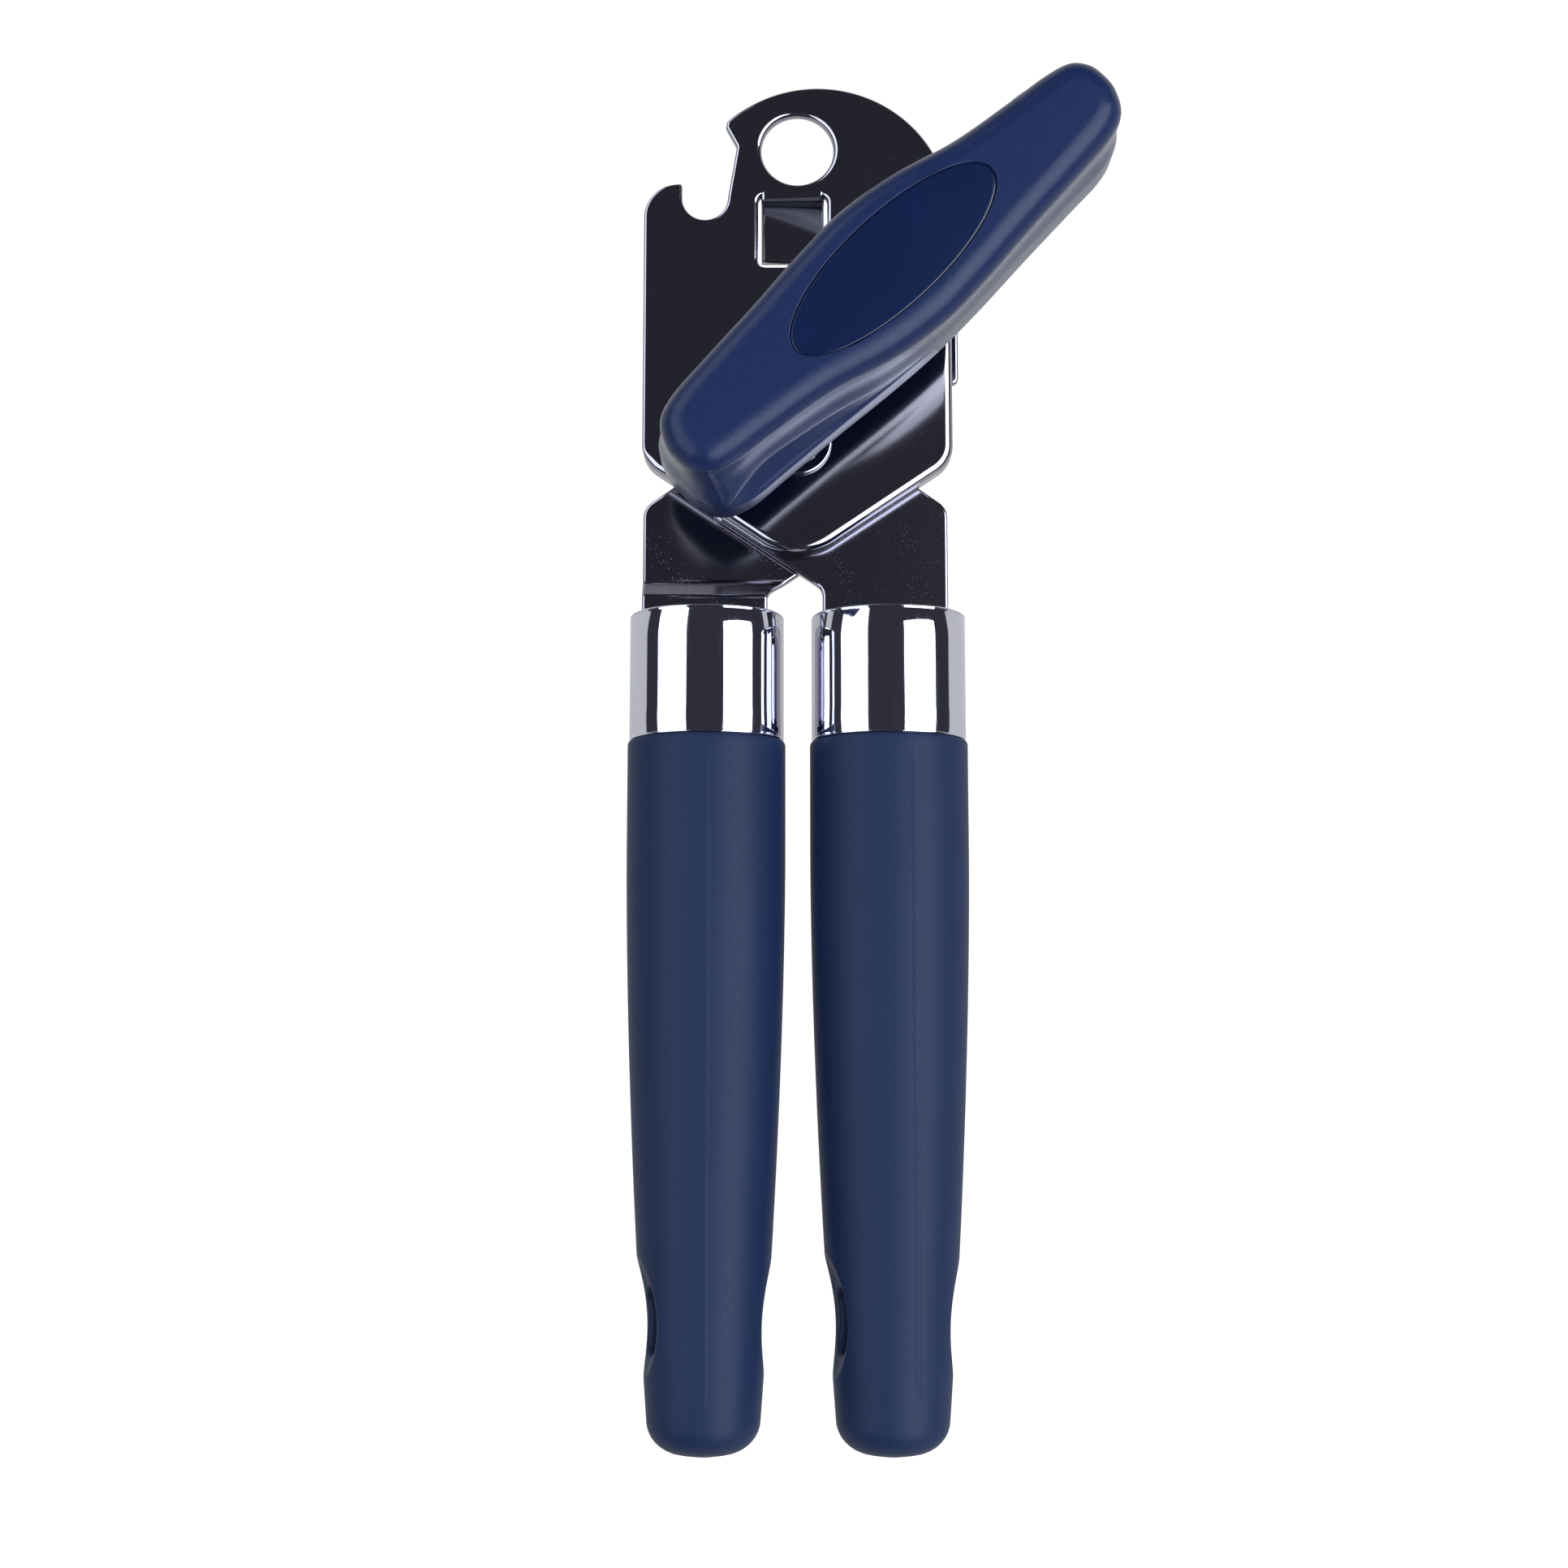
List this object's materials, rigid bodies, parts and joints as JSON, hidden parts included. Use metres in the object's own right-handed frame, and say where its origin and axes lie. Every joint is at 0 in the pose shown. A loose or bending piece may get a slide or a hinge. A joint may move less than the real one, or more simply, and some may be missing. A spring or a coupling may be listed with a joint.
{
  "type": "manual can opener",
  "caption": "Hand-turned can opener: two squeezed handles carry a geared cutter and a feed wheel that a butterfly knob drives.",
  "frame": {"origin": "centre of the hang hole, in the middle of the head plate's sheet", "axes": "+X to the right seen from the front, +Y out of the head end away from the handles, +Z out of the front plate along the hang hole and the knob's shaft; the opener lies on its back"},
  "size_m": [0.0752, 0.2119, 0.0441],
  "materials": {
    "plated_sheet": "bright plated pressed steel sheet",
    "bright_steel": "bright plated",
    "bright_collar": "mirror plated",
    "handle_core": "moulded, matte",
    "soft_grip": "soft touch, matte",
    "knob_plastic": "finely textured satin",
    "inlay_plastic": "smooth gloss",
    "plain_steel": "plain turned steel",
    "gear_steel": "stamped and tumbled steel",
    "blade_steel": "hardened, ground edge"
  },
  "bodies": {
    "drive_side": {"head_plate": "plated_sheet", "pivot_rivet": "bright_steel", "pivot_washer": "bright_steel", "arm_spacer": "plain_steel", "drive_arm": "plated_sheet", "left_collar": "bright_collar", "left_core": "handle_core", "left_grip": "soft_grip", "shaft_bushing": "plain_steel"},
    "cutter_side": {"cutter_arm": "plated_sheet", "right_collar": "bright_collar", "right_core": "handle_core", "right_grip": "soft_grip", "cutter_screw": "plain_steel", "cutter_spacer": "plain_steel", "spring_washer": "plain_steel"},
    "drive": {"knob_body": "knob_plastic", "knob_inlay": "inlay_plastic", "knob_screw": "plain_steel", "drive_shaft": "plain_steel", "knob_washer": "plain_steel", "drive_gear": "gear_steel", "feed_spacer": "plain_steel", "feed_wheel": "gear_steel", "shaft_nut": "plain_steel"},
    "cutter": {"cutter_gear": "gear_steel", "cutter_wheel": "blade_steel"}
  },
  "joints": [
    {"name": "handle_pivot", "type": "hinge", "parent": "drive_side", "child": "cutter_side", "pos_m": [0, -0.0478, -0.0044], "axis": [0, 0, 1], "range_deg": [0, 40]},
    {"name": "knob_spin", "type": "hinge", "parent": "drive_side", "child": "drive", "pos_m": [0.0138, -0.0283, 0], "axis": [0, 0, 1], "continuous": true},
    {"name": "cutter_spin", "type": "hinge", "parent": "cutter_side", "child": "cutter", "pos_m": [-0.0052, -0.02863, -0.009], "axis": [0, 0, 1], "continuous": true}
  ],
  "couplings": [
    {"joint": "cutter_spin", "follows": "knob_spin", "ratio": -1}
  ]
}
